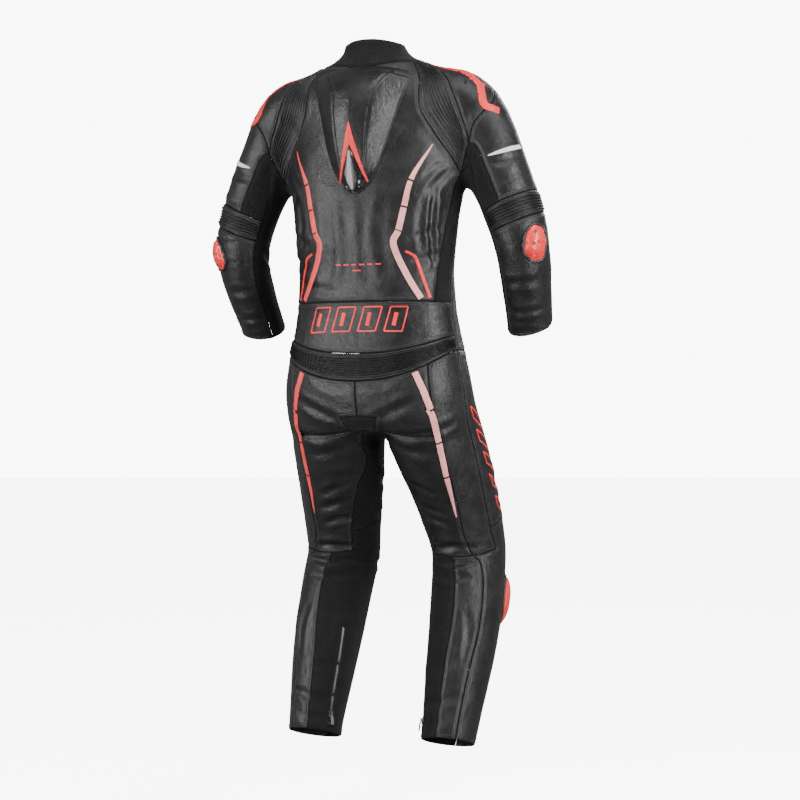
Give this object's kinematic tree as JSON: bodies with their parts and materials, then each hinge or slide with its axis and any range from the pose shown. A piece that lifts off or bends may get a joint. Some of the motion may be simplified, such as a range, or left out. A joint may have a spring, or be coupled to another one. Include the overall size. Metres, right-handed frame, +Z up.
{
  "type": "motorcycle race suit",
  "caption": "One-piece leather motorcycle race suit in its worn form with nobody inside, with a moulded back hump, stretch and accordion panels, elbow cups, knee sliders and zips.",
  "frame": {"origin": "middle of the neck opening's base, level with the back neck seam, where the wearer's neck and shoulders hold the suit", "axes": "+Z up along the wearer's height, +X to the wearer's left, -Y the way the wearer faces"},
  "size_m": [0.737, 0.3818, 1.4283],
  "materials": {
    "leather": "satin cowhide with fine grain",
    "stretch": "matt ribbed stretch fabric",
    "coral_leather": "smooth coral leather",
    "coral_plastic": "moulded coral plastic",
    "gloss_insert": "glossy black",
    "metal": "dark metal",
    "zip_tape": "woven tape with teeth"
  },
  "bodies": {
    "suit": {"ankle_zip_left": "zip_tape", "ankle_zip_right": "zip_tape", "back_panel": "leather", "back_stripe_left": "coral_leather", "back_stripe_right": "coral_leather", "calf_back_left": "stretch", "calf_back_right": "stretch", "calf_strip_left": "leather", "calf_strip_right": "leather", "collar": "stretch", "crotch_gusset": "stretch", "elbow_accordion_left": "leather", "elbow_accordion_right": "leather", "elbow_cup_left": "coral_plastic", "elbow_cup_right": "coral_plastic", "forearm_left": "leather", "forearm_right": "leather", "front_panel_left": "leather", "front_panel_right": "leather", "front_zip": "zip_tape", "hump": "leather", "hump_insert": "gloss_insert", "hump_v": "coral_leather", "knee_slider_left": "coral_plastic", "knee_slider_right": "coral_plastic", "lumbar_accordion": "leather", "seat_panel_left": "leather", "seat_panel_right": "leather", "shin_panel_left": "leather", "shin_panel_right": "leather", "shoulder_accordion_left": "leather", "shoulder_accordion_right": "leather", "shoulder_panel_left": "leather", "shoulder_panel_right": "leather", "shoulder_stripe_left": "coral_leather", "shoulder_stripe_right": "coral_leather", "side_panel_left": "stretch", "side_panel_right": "stretch", "sleeve_inner_left": "stretch", "sleeve_inner_right": "stretch", "thigh_back_left": "leather", "thigh_back_right": "leather", "thigh_front_left": "leather", "thigh_front_right": "leather", "thigh_inner_left": "stretch", "thigh_inner_right": "stretch", "thigh_outer_left": "leather", "thigh_outer_right": "leather", "thigh_stripe_left": "coral_leather", "thigh_stripe_right": "coral_leather", "upperarm_outer_left": "leather", "upperarm_outer_right": "leather", "upperarm_rib_left": "stretch", "upperarm_rib_right": "stretch", "waist_back": "leather", "zip_slider": "metal"},
    "zip_pull": {"zip_pull": "metal"},
    "ankle_pull_left": {"ankle_pull_left": "metal"},
    "ankle_pull_right": {"ankle_pull_right": "metal"}
  },
  "joints": [
    {"name": "zip_pull_hinge", "type": "hinge", "parent": "suit", "child": "zip_pull", "pos_m": [0, -0.09637, -0.04127], "axis": [-1, 0, 0], "range_deg": [0, 150]},
    {"name": "ankle_pull_left_hinge", "type": "hinge", "parent": "suit", "child": "ankle_pull_left", "pos_m": [0.09793, 0.00791, -1.2998], "axis": [0.5753, 0.818, 0], "range_deg": [0, 150]},
    {"name": "ankle_pull_right_hinge", "type": "hinge", "parent": "suit", "child": "ankle_pull_right", "pos_m": [-0.09793, 0.00791, -1.2998], "axis": [0.5753, -0.818, 0], "range_deg": [0, 150]}
  ]
}
